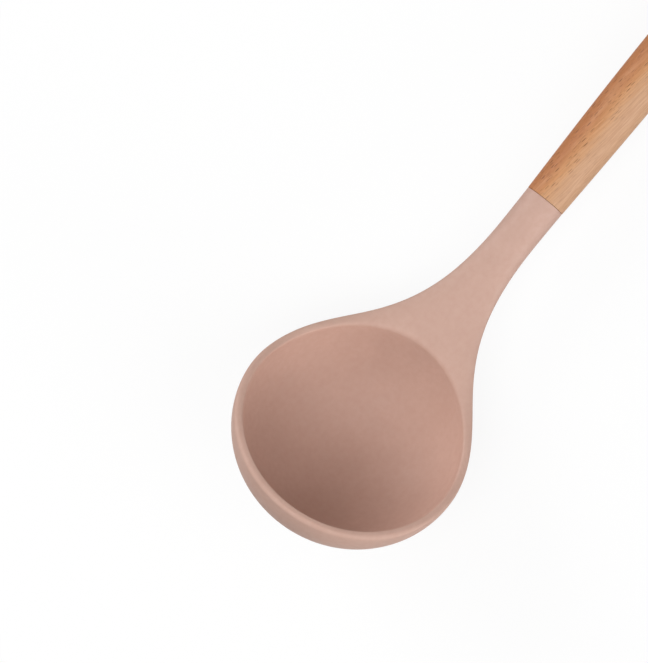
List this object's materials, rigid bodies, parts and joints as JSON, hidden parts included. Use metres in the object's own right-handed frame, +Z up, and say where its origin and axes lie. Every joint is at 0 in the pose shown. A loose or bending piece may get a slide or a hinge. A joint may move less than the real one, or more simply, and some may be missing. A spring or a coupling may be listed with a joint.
{
  "type": "soup ladle",
  "caption": "Soup ladle with a deep round silicone bowl, a flared neck and a turned beech handle with a hanging hole, lying on its back.",
  "frame": {"origin": "on the table, under the middle of the lying ladle's bounding box", "axes": "+Z up from the table, +X from the bowl to the end of the handle, +Y across the bowl"},
  "size_m": [0.3186, 0.09, 0.0666],
  "materials": {
    "silicone": "matt moulded silicone, dusty pink",
    "core_steel": "pressed stainless steel, dull",
    "tang_steel": "drawn stainless steel rod, dull",
    "epoxy": "cured epoxy, straw coloured",
    "beech": "turned and oiled beech"
  },
  "bodies": {
    "root": {"silicone_head": "silicone", "bowl_core": "core_steel", "tang": "tang_steel", "tang_adhesive": "epoxy", "beech_handle": "beech"}
  },
  "joints": []
}
